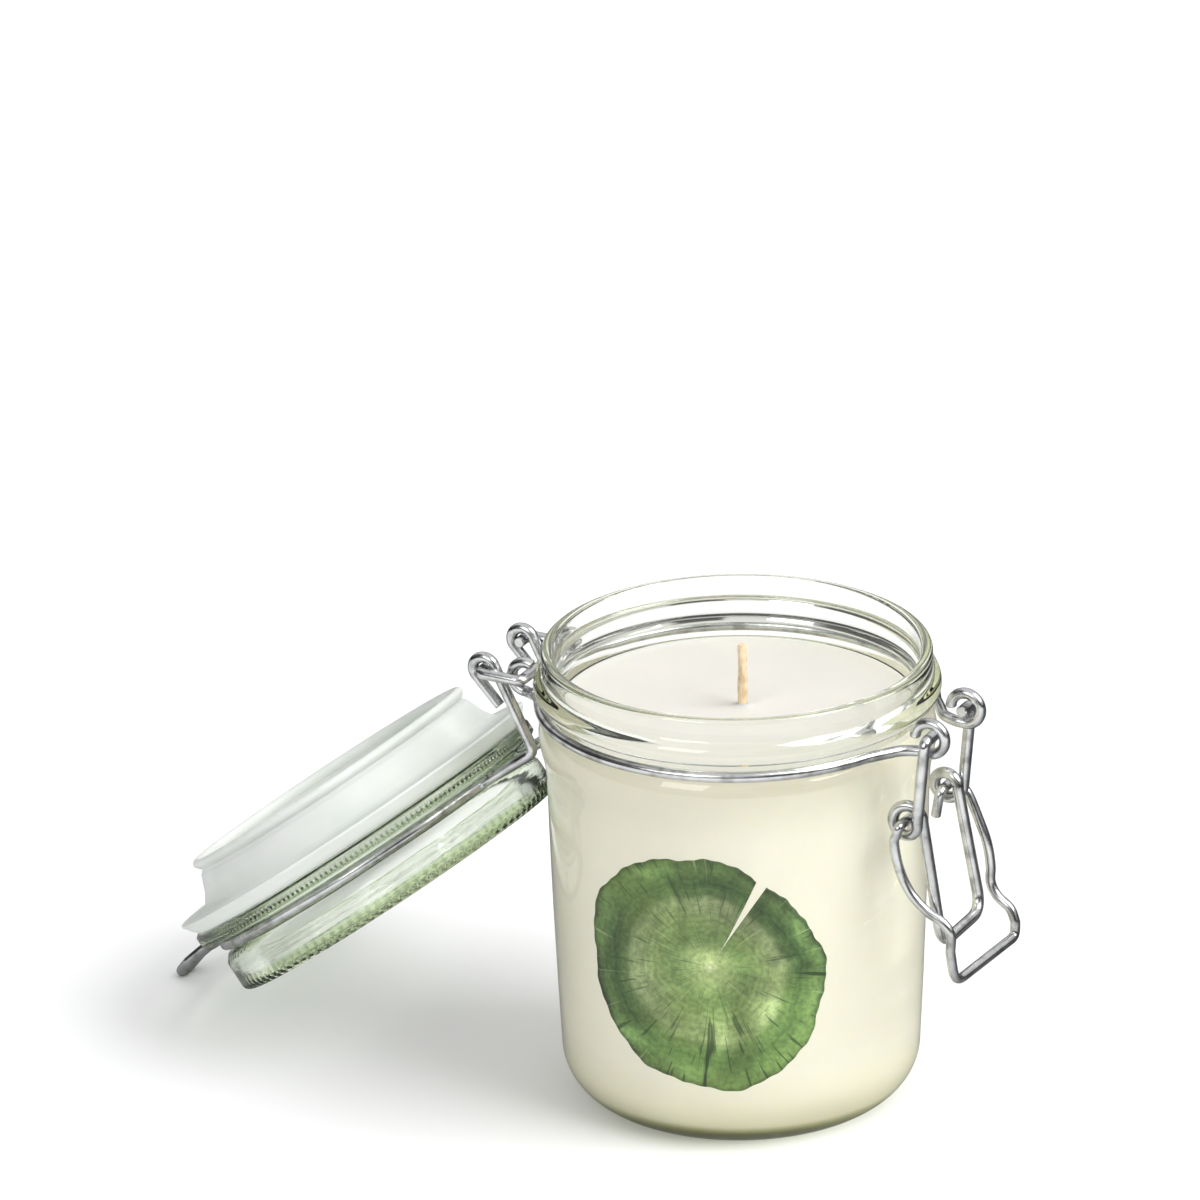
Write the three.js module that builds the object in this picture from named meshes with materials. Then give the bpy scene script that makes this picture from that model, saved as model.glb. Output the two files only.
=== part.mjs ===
// Bail clamp jar holding a poured candle: a pressed-glass jar with a wire band round its neck, a glass
// lid on a wire hinge with a translucent sealing sleeve, and an over-centre wire clamp opposite the hinge.
// Millimetres, +Z up. The origin is the centre of the jar's flat base. The hinge is on -X, the clamp on +X.
// The lid is built in its closed place and then turned about the hinge pins to hang open on the table.
import * as THREE from "three";

// ---- driving dimensions -------------------------------------------------------------------------------
const WAX_TOP = 95.1;
const WICK_AT = { x: 1.1, y: 0.5 }; // the wick stands a little off the jar's axis
const WIRE = 1.3; // radius of the band, link and lid wire
const LEVER_WIRE = 1.35;
const STIRRUP_WIRE = 1.15;
const WIRE_SIDES = 8;
const COLUMNS = 48; // facets round the jar, the wax and the seal

const BAND = { radius: 45.6, z: 96.7 }; // centre line of the neck band
const EYE_Y = 9.8; // the band's eyes and the lid's hooks stand this far either side of the middle
const ARM_Y = 12.7; // the lever's upper arms and the link's legs pass outside the eyes
const STIRRUP_Y = 15.6;

const HINGE = { x: -60.4, z: 97.8 }; // axis of the lid hooks
const REAR_EYE = { x: -49.6, z: 97.6, radius: 3.57 };
const FRONT_EYE = { x: 53.2, z: 100, radius: 3.7 }; // axis of the lever
const LEVER_COIL = { x: 47.95, z: 79.5, radius: 3.3 }; // axis of the stirrup

const LID_X = 1.5; // play in the hooks leaves the closed lid this far towards the clamp
const LID_RING = { radius: 41.9, z: 120.4 };
const NOSE_TIP = { x: 68.1, z: 122 }; // the open lid rests on the table here
const OPEN_ANGLE = THREE.MathUtils.degToRad(216.9);
const RIBS = 48;

// ---- finishes -----------------------------------------------------------------------------------------
const finish = (color, roughness, metalness) =>
  new THREE.MeshStandardMaterial({ color, roughness, metalness });
const CLEAR_GLASS = finish(0xe4efe2, 0.05, 0);
const GREEN_GLASS = finish(0xcfe3c6, 0.08, 0);
const STEEL = finish(0xb9bcbd, 0.25, 1);
const CREAM_WAX = finish(0xf2efdc, 0.55, 0);
const WICK_WOOD = finish(0xe0c9a4, 0.9, 0);
const TIN = finish(0xc2c4c6, 0.35, 1);
const MILKY_SILICONE = finish(0xe6eae6, 0.4, 0);

// ---- helpers ------------------------------------------------------------------------------------------
function mesh(name, geometry, material) {
  const made = new THREE.Mesh(geometry, material);
  made.name = name;
  return made;
}

// Points on a circle in a lathe profile, from one angle to another in degrees.
function profileArc(r, z, radius, from, to, steps) {
  const points = [];
  for (let i = 0; i <= steps; i++) {
    const a = THREE.MathUtils.degToRad(from + ((to - from) * i) / steps);
    points.push([r + radius * Math.cos(a), z + radius * Math.sin(a)]);
  }
  return points;
}

// A solid of revolution about Z from a profile of [radius, height] pairs.
function turned(profile, segments = COLUMNS) {
  const points = profile.map(([r, z]) => new THREE.Vector2(r, z));
  return new THREE.LatheGeometry(points, segments).rotateX(Math.PI / 2);
}

// A curve through given points that keeps exactly those points as its stations.
class WirePath extends THREE.Curve {
  constructor(points) {
    super();
    this.points = points;
  }
  getPoint(t) {
    const last = this.points.length - 1;
    return this.points[Math.round(t * last)].clone();
  }
  getPointAt(u) {
    return this.getPoint(u);
  }
  getTangentAt(u) {
    const last = this.points.length - 1;
    const i = Math.round(u * last);
    const before = this.points[Math.max(0, i - 1)];
    const after = this.points[Math.min(last, i + 1)];
    return after.clone().sub(before).normalize();
  }
}

// A round wire swept along the points, closed at both cut ends.
function wire(points, radius) {
  const section = new THREE.Shape();
  for (let i = 0; i < WIRE_SIDES; i++) {
    const a = ((i + 0.5) / WIRE_SIDES) * 2 * Math.PI;
    const [x, y] = [radius * Math.cos(a), radius * Math.sin(a)];
    if (i) section.lineTo(x, y);
    else section.moveTo(x, y);
  }
  return new THREE.ExtrudeGeometry(section, {
    steps: points.length - 1,
    extrudePath: new WirePath(points),
    bevelEnabled: false,
  });
}

const at = (x, y, z) => new THREE.Vector3(x, y, z);

// Wire bent round a pin parallel to Y: an arc in the XZ plane whose Y may shift from one end to the other.
function bentRound(eye, y, from, to, steps, yEnd = y) {
  const points = [];
  for (let i = 0; i <= steps; i++) {
    const a = THREE.MathUtils.degToRad(from + ((to - from) * i) / steps);
    const shift = y + ((yEnd - y) * i) / steps;
    points.push(at(eye.x + eye.radius * Math.cos(a), shift, eye.z + eye.radius * Math.sin(a)));
  }
  return points;
}

// Wire laid round a vertical axis at x, from one angle to another in degrees.
function laidRound(x, radius, z, from, to, steps) {
  const points = [];
  for (let i = 0; i <= steps; i++) {
    const a = THREE.MathUtils.degToRad(from + ((to - from) * i) / steps);
    points.push(at(x + radius * Math.cos(a), radius * Math.sin(a), z));
  }
  return points;
}

// The corners of a bent wire, each inner corner rounded to the bend radius.
function bends(corners, radius, steps = 4) {
  const points = [corners[0]];
  for (let i = 1; i < corners.length - 1; i++) {
    const corner = corners[i];
    const toBefore = corners[i - 1].clone().sub(corner);
    const toAfter = corners[i + 1].clone().sub(corner);
    const half = toBefore.angleTo(toAfter) / 2;
    const reach = Math.min(radius / Math.tan(half), 0.48 * toBefore.length(), 0.48 * toAfter.length());
    const start = corner.clone().addScaledVector(toBefore.normalize(), reach);
    const end = corner.clone().addScaledVector(toAfter.normalize(), reach);
    const curve = new THREE.QuadraticBezierCurve3(start, corner, end);
    points.push(...curve.getPoints(steps));
  }
  points.push(corners[corners.length - 1]);
  return points;
}

const smooth = (points, steps) => new THREE.CatmullRomCurve3(points, false, "centripetal").getPoints(steps);
const mirrored = (points) => points.map((p) => at(p.x, -p.y, p.z)).reverse();

// ---- jar, candle --------------------------------------------------------------------------------------
function jarGlass() {
  return turned([
    [0, 0],
    ...profileArc(29.4, 12.4, 12.4, -90, -6, 6),
    [42.5, 27],
    [43.3, 47],
    [44.2, 78],
    [44.6, 82.5],
    [45.7, 86.5],
    [45.9, 90],
    [45.4, 93],
    [43.9, 95.2],
    [43.9, 98.6],
    [46.3, 99.7],
    [47.0, 101.4],
    [46.5, 103.3],
    [44.9, 105],
    ...profileArc(43.65, 108.95, 1.35, 0, 180, 5),
    [42.3, 103],
    [41.3, 96],
    [41.0, 78],
    [39.6, 28],
    ...profileArc(29.2, 14.4, 9.6, -8, -90, 4),
    [0, 4.4],
  ], COLUMNS);
}

function candleWax() {
  const bore = 1.5;
  const geometry = turned([
    [bore, 7.2],
    [8.2, 7.2],
    [8.2, 4.75],
    ...profileArc(28.9, 14.4, 9.55, -90, -8, 4),
    [39.2, 28],
    [40.6, 78],
    [40.9, 94.6],
    [40.3, WAX_TOP],
    [3, WAX_TOP],
    [bore, WAX_TOP - 0.3],
    [bore, 7.2],
  ]);
  movedToWick(geometry, 9);
  return geometry;
}

// Moves what lies within a distance of the axis to where the wick stands.
function movedToWick(geometry, within) {
  const position = geometry.attributes.position;
  for (let i = 0; i < position.count; i++) {
    const [x, y] = [position.getX(i), position.getY(i)];
    if (Math.hypot(x, y) < within) position.setXY(i, x + WICK_AT.x, y + WICK_AT.y);
  }
}

function wickCore() {
  return turned([
    [0, 7.2],
    [1.15, 7.2],
    [1.15, 110.2],
    [0.9, 110.8],
    [0, 110.8],
  ], 16).translate(WICK_AT.x, WICK_AT.y, 0);
}

function wickSustainer() {
  return turned([
    [0, 4.75],
    [7.6, 4.75],
    [7.6, 5.15],
    [2.2, 5.4],
    [1.8, 6.8],
    [0, 6.8],
  ], 32).translate(WICK_AT.x, WICK_AT.y, 0);
}

// ---- lid ----------------------------------------------------------------------------------------------
// Pressed glass: recessed slab, ribbed upstanding rim, groove for the lid wire, wide flange, locating ring.
function lidGlass() {
  const geometry = turned([
    [0, 118.6],
    [33.4, 118.2],
    [34.2, 114],
    [37.2, 114],
    [37.7, 114.9],
    [46.3, 114.9],
    [46.9, 115.6],
    [46.9, 118.1],
    [46.3, 118.7],
    [40.2, 118.7],
    [40.2, 122.1],
    [42.6, 122.8],
    [44, 124.8],
    [44, 130.2],
    [43, 132],
    [40, 132.4],
    [38, 131],
    [36.8, 124.4],
    [0, 123.6],
  ], 2 * RIBS);
  scallop(geometry, 126, 132.1, 42, 0.6);
  return geometry;
}

// Presses every other column of the outer rim inwards, so the rim has RIBS upright flutes.
function scallop(geometry, bottom, top, inside, depth) {
  const position = geometry.attributes.position;
  for (let i = 0; i < position.count; i++) {
    const [x, y, z] = [position.getX(i), position.getY(i), position.getZ(i)];
    const radius = Math.hypot(x, y);
    if (z < bottom || z > top || radius < inside) continue;
    const column = Math.round((Math.atan2(y, x) / Math.PI) * RIBS);
    if (column % 2 === 0) continue;
    position.setXY(i, x * (1 - depth / radius), y * (1 - depth / radius));
  }
}

// Soft seal: a band under the flange with an outward flared lip and a long tapering sleeve.
function lidSeal() {
  return turned([
    [38.0, 114.6],
    [37.3, 107],
    [36.6, 103.2],
    [35.9, 99.8],
    [37.1, 99.8],
    [38.0, 102.8],
    [39.3, 107],
    [40.4, 109.9],
    [43.0, 110.8],
    [48.1, 111.1],
    [48.3, 111.8],
    [46.0, 114.6],
    [38.0, 114.6],
  ]);
}

function hookAndArm() {
  const hook = { x: HINGE.x, z: HINGE.z, radius: 2.9 };
  const y = -EYE_Y;
  const leg = [at(HINGE.x + 2.0, y, HINGE.z + 9.2)];
  const arch = bentRound(hook, y, 0, -180, 10);
  const arm = [
    arch[arch.length - 1],
    at(HINGE.x + 1.3, y, LID_RING.z),
    at(-41.6, y, LID_RING.z),
    at(-37.9, -14.3, LID_RING.z),
  ];
  return [...leg, ...arch.slice(0, -1), ...bends(arm, 2.4)];
}

function lidWire() {
  const ring = laidRound(LID_X, LID_RING.radius, LID_RING.z, -156, -12, 26);
  const nose = bends([
    ring[ring.length - 1],
    at(45.8, -1.55, LID_RING.z),
    at(50.5, -1.55, LID_RING.z),
    at(57.5, -3, LID_RING.z - 0.3),
    at(64, -3, LID_RING.z + 0.5),
    at(NOSE_TIP.x, -2.7, NOSE_TIP.z),
    at(NOSE_TIP.x, 0, NOSE_TIP.z),
  ], 2.6, 3);
  const half = [...hookAndArm(), ...ring.slice(0, -1), ...nose];
  return wire([...half.slice(0, -1), ...mirrored(half)], WIRE);
}

// ---- neck wires ---------------------------------------------------------------------------------------
// Half of the neck band, lying in the groove under the bead, with an eye bent at each end.
function neckBand(side) {
  const frontEye = bentRound(FRONT_EYE, EYE_Y, 182, -90, 14);
  const toNeck = smooth([
    frontEye[frontEye.length - 1],
    at(50.4, 9.9, 96.5),
    at(46.9, 11.6, 96.6),
    at(44.4, 15, 96.7),
    at(BAND.radius * Math.cos(Math.PI / 7.2), BAND.radius * Math.sin(Math.PI / 7.2), BAND.z),
  ], 9);
  const round = laidRound(0, BAND.radius, BAND.z, 30, 152, 24);
  const rearEye = bentRound(REAR_EYE, EYE_Y, 270, 62, 10);
  const fromNeck = smooth([
    at(BAND.radius * Math.cos(2.705), BAND.radius * Math.sin(2.705), BAND.z),
    at(-44.6, 15, 95.9),
    at(-47.1, 11.6, 94.4),
    rearEye[0],
  ], 7);
  const path = [...frontEye.slice(0, -1), ...toNeck, ...round, ...fromNeck, ...rearEye.slice(1)];
  return wire(side < 0 ? mirrored(path) : path, WIRE);
}

// The hinge link: a bar through both rear eyes, a leg outside each, and an inturned pin in each lid hook.
function hingeLink() {
  const half = bends([
    at(HINGE.x, -7.6, HINGE.z),
    at(HINGE.x, -ARM_Y, HINGE.z),
    at(REAR_EYE.x, -ARM_Y, REAR_EYE.z),
    at(REAR_EYE.x, 0, REAR_EYE.z),
  ], 1.9);
  return wire([...half.slice(0, -1), ...mirrored(half)], WIRE);
}

// ---- clamp --------------------------------------------------------------------------------------------
function clampLever() {
  const coil = bentRound(LEVER_COIL, -ARM_Y, 0, -360, 20, -EYE_Y);
  const upper = bends([
    at(FRONT_EYE.x, -7.2, FRONT_EYE.z),
    at(FRONT_EYE.x, -ARM_Y, FRONT_EYE.z),
    coil[0],
  ], 1.9);
  const lower = bends([
    coil[coil.length - 1],
    at(56.5, -10.8, 50),
    at(56.5, 0, 50),
  ], 4.2, 5);
  const half = [...upper.slice(0, -1), ...coil, ...lower.slice(1)];
  return wire([...half.slice(0, -1), ...mirrored(half)], LEVER_WIRE);
}

// The stirrup is bent by hand, so its two arms differ: the near one steps out higher than the far one.
function clampStirrup() {
  const nearArm = [
    at(46.8, -15.5, 75.2),
    at(47.9, -15.2, 69),
    at(50.6, -15, 63.4),
    at(54.6, -14.8, 59.5),
    at(58.4, -14.6, 57.3),
    at(60.3, -14.3, 54.5),
    at(60.1, -14, 50),
    at(60.9, -13.4, 42.2),
  ];
  const farArm = [
    at(51.3, 15.5, 76),
    at(53.9, 15.3, 70.5),
    at(56.1, 15.1, 65),
    at(57.1, 14.9, 59.6),
    at(57.2, 14.7, 55.6),
    at(58.9, 14.5, 52.5),
    at(62.3, 14.2, 50),
    at(63.8, 13.9, 47),
    at(63.9, 13.4, 43.6),
  ];
  const nearPin = stirrupPin(-1, nearArm[0]);
  const farPin = stirrupPin(1, farArm[0]).reverse();
  const arms = [nearPin[nearPin.length - 1], ...nearArm, ...farArm.reverse(), farPin[0]];
  return wire([...nearPin.slice(0, -1), ...bends(arms, 4.5, 3), ...farPin.slice(1)], STIRRUP_WIRE);
}

// One end of the stirrup: a tail bent down inside the lever's coil, and the pin out through it.
function stirrupPin(side, arm) {
  const outer = at(LEVER_COIL.x, side * STIRRUP_Y, LEVER_COIL.z);
  return bends([
    at(46.9, side * 6.9, 73.2),
    at(LEVER_COIL.x, side * 6.9, LEVER_COIL.z),
    outer,
    outer.clone().lerp(arm, 0.5),
  ], 1.9, 3);
}

// ---- assembly -----------------------------------------------------------------------------------------
const jar = new THREE.Group();
jar.add(mesh("jar_glass", jarGlass(), CLEAR_GLASS));
jar.add(mesh("candle_wax", candleWax(), CREAM_WAX));
jar.add(mesh("wick", wickCore(), WICK_WOOD));
jar.add(mesh("wick_sustainer", wickSustainer(), TIN));
jar.add(mesh("neck_band_near", neckBand(-1), STEEL));
jar.add(mesh("neck_band_far", neckBand(1), STEEL));
jar.add(mesh("hinge_link", hingeLink(), STEEL));
jar.add(mesh("clamp_lever", clampLever(), STEEL));
jar.add(mesh("clamp_stirrup", clampStirrup(), STEEL));

const lid = new THREE.Group();
lid.add(mesh("lid_glass", lidGlass().translate(LID_X, 0, 0), GREEN_GLASS));
lid.add(mesh("lid_seal", lidSeal().translate(LID_X, 0, 0), MILKY_SILICONE));
lid.add(mesh("lid_wire", lidWire(), STEEL));
for (const piece of lid.children) piece.geometry.translate(-HINGE.x, 0, -HINGE.z);
lid.position.set(HINGE.x, 0, HINGE.z);
lid.rotation.y = -OPEN_ANGLE;
jar.add(lid);

export default jar;
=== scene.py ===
"""Looks of a bail clamp jar that holds a poured candle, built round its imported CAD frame.

Shapes are written in millimetres in the CAD's own frame: origin at the centre of the jar's base, +Z
up, the lid's hinge on -X and the clamp on +X. The lid is built shut and then turned open about its
hinge.
"""

import math

import bpy
from mathutils import Matrix, Vector


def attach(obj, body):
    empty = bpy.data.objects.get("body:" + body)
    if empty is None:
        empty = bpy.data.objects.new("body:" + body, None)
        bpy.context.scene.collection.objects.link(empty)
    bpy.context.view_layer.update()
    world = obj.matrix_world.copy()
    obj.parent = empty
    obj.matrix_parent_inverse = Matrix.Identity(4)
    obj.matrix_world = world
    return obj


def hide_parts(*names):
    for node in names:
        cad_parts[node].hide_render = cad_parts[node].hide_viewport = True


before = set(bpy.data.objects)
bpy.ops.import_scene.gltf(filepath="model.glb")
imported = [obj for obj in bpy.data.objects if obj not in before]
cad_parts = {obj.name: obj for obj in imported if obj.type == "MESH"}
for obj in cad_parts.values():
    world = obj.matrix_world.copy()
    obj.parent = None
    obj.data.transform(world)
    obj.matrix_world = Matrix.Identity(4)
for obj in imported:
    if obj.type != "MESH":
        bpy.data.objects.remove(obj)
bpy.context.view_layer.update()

# ---- driving dimensions, in millimetres and degrees, as in the CAD ------------------------------
MM = 0.001
# Wire radii: band, link and lid wire first.
WIRE = 1.3
LEVER_WIRE = 1.35
STIRRUP_WIRE = 1.15
BAND_RADIUS = 45.6
BAND_Z = 96.7
# How far from the middle plane the eyes, the arms and the stirrup's legs stand.
EYE_Y = 9.8
ARM_Y = 12.7
STIRRUP_Y = 15.6
# Pivots and eyes, as (x, z).
HINGE = (-60.4, 97.8)
REAR_EYE = (-49.6, 97.6)
FRONT_EYE = (53.2, 100.0)
LEVER_COIL = (47.95, 79.5)
# The shut lid: its axis stands a little nearer the clamp than the jar's.
LID_X = 1.5
LID_RING_RADIUS = 41.9
LID_RING_Z = 120.4
NOSE_TIP = (68.1, 122.0)
OPEN_ANGLE = 216.9

CAMERA_AT = (839.6, -1716.5, 891.6)
CAMERA_HEADING = 27.0
CAMERA_DOWN = 21.94
CAMERA_ROLL = -1.01
CAMERA_LENS = 270.0


# ---- camera -------------------------------------------------------------------------------------
def turn(degrees, axis):
    return Matrix.Rotation(math.radians(degrees), 4, axis)


def add_camera():
    data = bpy.data.cameras.new("camera")
    data.lens = CAMERA_LENS
    data.sensor_width = 36.0
    data.clip_end = 50.0
    camera = bpy.data.objects.new("camera", data)
    bpy.context.scene.collection.objects.link(camera)
    place = Matrix.Translation(Vector(CAMERA_AT) * MM)
    aim = turn(CAMERA_HEADING, "Z") @ turn(90 - CAMERA_DOWN, "X") @ turn(CAMERA_ROLL, "Z")
    camera.matrix_world = place @ aim
    bpy.context.scene.camera = camera


add_camera()


# ---- lines and profiles -------------------------------------------------------------------------
SHARPEST_HALF_ANGLE = 0.01
LEG_SHARE = 0.48


def arc(x, y, radius, start, end, steps):
    """Points on a circle, from one angle to another."""
    points = []
    for i in range(steps + 1):
        a = math.radians(start + (end - start) * i / steps)
        points.append((x + radius * math.cos(a), y + radius * math.sin(a)))
    return points


def between(a, b, c, d, t):
    """The point at a share t of the way from b to c, on a smooth line through all four."""
    bent = 2 * a - 5 * b + 4 * c - d
    twisted = 3 * b - a - 3 * c + d
    return 0.5 * (2 * b + (c - a) * t + bent * t**2 + twisted * t**3)


def spline(points, steps):
    """A smooth line through the points, with so many steps between each two."""
    p = [Vector(q) for q in points]
    p = [2 * p[0] - p[1], *p, 2 * p[-1] - p[-2]]
    line = []
    for i in range(1, len(p) - 2):
        for k in range(steps):
            line.append(between(p[i - 1], p[i], p[i + 1], p[i + 2], k / steps))
    line.append(p[-2])
    return [tuple(q) for q in line]


def bends(corners, radius, steps=8):
    """The corners joined by straight lines, each inner corner rounded to about the bend radius. A
    bend takes up less than half of each straight beside it."""
    c = [Vector(q) for q in corners]
    line = [c[0]]
    for before, corner, after in zip(c, c[1:], c[2:]):
        back, on = before - corner, after - corner
        half = max(back.angle(on) / 2, SHARPEST_HALF_ANGLE)
        reach = min(radius / math.tan(half), LEG_SHARE * back.length, LEG_SHARE * on.length)
        start = corner + back.normalized() * reach
        end = corner + on.normalized() * reach
        for k in range(steps + 1):
            t = k / steps
            line.append(start * (1 - t) ** 2 + corner * 2 * t * (1 - t) + end * t**2)
    line.append(c[-1])
    return [tuple(q) for q in line]


def bent_round(eye, radius, y, start, end, steps, y_end=None):
    """Wire bent round a pin parallel to Y, moving along the pin as it goes."""
    y_end = y if y_end is None else y_end
    flat = arc(eye[0], eye[1], radius, start, end, steps)
    return [(x, y + (y_end - y) * i / steps, z) for i, (x, z) in enumerate(flat)]


def laid_round(x, radius, z, start, end, steps):
    """Wire laid level round a vertical axis."""
    return [(px, py, z) for px, py in arc(x, 0, radius, start, end, steps)]


def mirrored(points):
    """The other half of a wire that is the same on both sides of the middle plane."""
    return [(x, -y, z) for x, y, z in reversed(points)]


# ---- meshes -------------------------------------------------------------------------------------
CLOSED_WITHIN = 0.001
CHAMFER_LENGTH = 0.25
CHAMFER_SHARE = 0.82
SHORTEST_STEP = 0.02


def make_object(name, vertices, faces, uvs, crease=40):
    """A smooth-shaded object from points in millimetres. uvs holds one pair for each vertex, and
    edges sharper than the crease, in degrees, stay sharp."""
    mesh = bpy.data.meshes.new(name)
    mesh.from_pydata([tuple(c * MM for c in v) for v in vertices], [], faces)
    layer = mesh.uv_layers.new(name="UVMap")
    for loop in mesh.loops:
        layer.data[loop.index].uv = uvs[loop.vertex_index]
    mesh.polygons.foreach_set("use_smooth", [True] * len(mesh.polygons))
    mesh.set_sharp_from_angle(angle=math.radians(crease))
    made = bpy.data.objects.new(name, mesh)
    bpy.context.scene.collection.objects.link(made)
    return made


def faces_between(pairs, columns):
    """Faces between two rings of vertices each: triangles where one ring is a single point."""
    faces = []
    for low, high in pairs:
        for i in range(columns):
            j = (i + 1) % columns
            corners = [low[i], low[j], high[j], high[i]]
            faces.append([v for n, v in enumerate(corners) if v not in corners[:n]])
    return faces


def lathe(name, profile, columns, shape=None, crease=40):
    """A solid of revolution about Z. The profile runs up outside and back down inside, and closes
    on itself or on the axis. shape(r, z, angle) may return another radius. The UV map holds the
    share of the way round and the height in decimetres."""
    closed = math.dist(profile[0], profile[-1]) < CLOSED_WITHIN
    profile = profile[:-1] if closed else profile
    vertices, uvs, rings = [], [], []
    for r, z in profile:
        if r == 0:
            rings.append([len(vertices)] * columns)
            vertices.append((0, 0, z))
            uvs.append((0, z / 100))
            continue
        rings.append(list(range(len(vertices), len(vertices) + columns)))
        for i in range(columns):
            a = 2 * math.pi * i / columns
            radius = shape(r, z, a) if shape else r
            vertices.append((radius * math.cos(a), radius * math.sin(a), z))
            uvs.append((i / columns, z / 100))
    pairs = list(zip(rings, rings[1:]))
    if closed:
        pairs.append((rings[-1], rings[0]))
    return make_object(name, vertices, faces_between(pairs, columns), uvs, crease)


def wire_line(points):
    """The points without doubled ones, and with a short step at each end for the chamfer."""
    p = [Vector(points[0])]
    for q in points[1:]:
        if (Vector(q) - p[-1]).length > SHORTEST_STEP:
            p.append(Vector(q))
    first, last = (p[1] - p[0]).normalized(), (p[-1] - p[-2]).normalized()
    inner = [p[0] + first * CHAMFER_LENGTH, *p[1:-1], p[-1] - last * CHAMFER_LENGTH]
    return [p[0], *inner, p[-1]]


def tube(name, points, radius, sides=20):
    """A round wire along the points, its two cut ends slightly chamfered. The UV map holds the
    share of the way round and the length in decimetres."""
    p = wire_line(points)
    last = len(p) - 1
    tangents = [(p[min(i + 1, last)] - p[max(i - 1, 0)]).normalized() for i in range(len(p))]
    side = tangents[0].orthogonal().normalized()
    vertices, uvs, length = [], [], 0.0
    for i, (centre, along) in enumerate(zip(p, tangents)):
        side = (side - along * side.dot(along)).normalized()
        other = along.cross(side)
        if i:
            length += (centre - p[i - 1]).length
        size = radius * CHAMFER_SHARE if i in (0, last) else radius
        for k in range(sides):
            a = 2 * math.pi * k / sides
            vertices.append(tuple(centre + (side * math.cos(a) + other * math.sin(a)) * size))
            uvs.append((k / sides, length / 100))
    faces = []
    for i in range(last):
        for k in range(sides):
            a, b = i * sides + k, i * sides + (k + 1) % sides
            faces.append((a, b, b + sides, a + sides))
    faces.append(tuple(range(sides - 1, -1, -1)))
    faces.append(tuple(range(last * sides, (last + 1) * sides)))
    return make_object(name, vertices, faces, uvs)


# ---- node trees ---------------------------------------------------------------------------------
# Sockets of the Mix node when it mixes colours.
MIX_FACTOR, MIX_FIRST, MIX_SECOND, MIX_RESULT = 0, 6, 7, 2


def srgb(r, g, b):
    """A colour as seen on a screen, 0 to 255, as the linear value that shaders take."""
    linear = [((c / 255 + 0.055) / 1.055) ** 2.4 if c > 10 else c / 3295 for c in (r, g, b)]
    return (*linear, 1.0)


class Tree:
    """A node tree, with short ways to add nodes. Most return the output that carries the result."""

    def __init__(self, tree):
        self.nodes = tree.nodes
        self.links = tree.links

    def node(self, kind, **settings):
        made = self.nodes.new(kind)
        for key, value in settings.items():
            setattr(made, key, value)
        return made

    def link(self, out, into):
        self.links.new(out, into)

    def feed(self, value, into):
        """Sets a socket to a number or a colour, or links it to another node's output."""
        if isinstance(value, (int, float, tuple)):
            into.default_value = value
        else:
            self.link(value, into)

    def part(self, vector, axis):
        parts = self.node("ShaderNodeSeparateXYZ")
        self.link(vector, parts.inputs[0])
        return parts.outputs[axis]

    def dot(self, vector, towards):
        made = self.node("ShaderNodeVectorMath", operation="DOT_PRODUCT")
        made.inputs[1].default_value = towards
        self.link(vector, made.inputs[0])
        return made.outputs["Value"]

    def ramp(self, value, *stops):
        """Colours by a value: each stop is a position and a colour or a shade of grey."""
        made = self.node("ShaderNodeValToRGB")
        elements = made.color_ramp.elements
        while len(elements) < len(stops):
            elements.new(0.5)
        for element, (position, colour) in zip(elements, stops):
            element.position = position
            element.color = colour if isinstance(colour, tuple) else (colour, colour, colour, 1)
        self.link(value, made.inputs["Fac"])
        return made.outputs["Color"]

    def mix(self, factor, first, second, blend="MIX"):
        made = self.node("ShaderNodeMix", data_type="RGBA", blend_type=blend)
        self.feed(factor, made.inputs[MIX_FACTOR])
        self.feed(first, made.inputs[MIX_FIRST])
        self.feed(second, made.inputs[MIX_SECOND])
        return made.outputs[MIX_RESULT]

    def math(self, operation, first, second, third=0.0):
        made = self.node("ShaderNodeMath", operation=operation)
        for value, into in zip((first, second, third), made.inputs):
            self.feed(value, into)
        return made.outputs["Value"]


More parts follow.
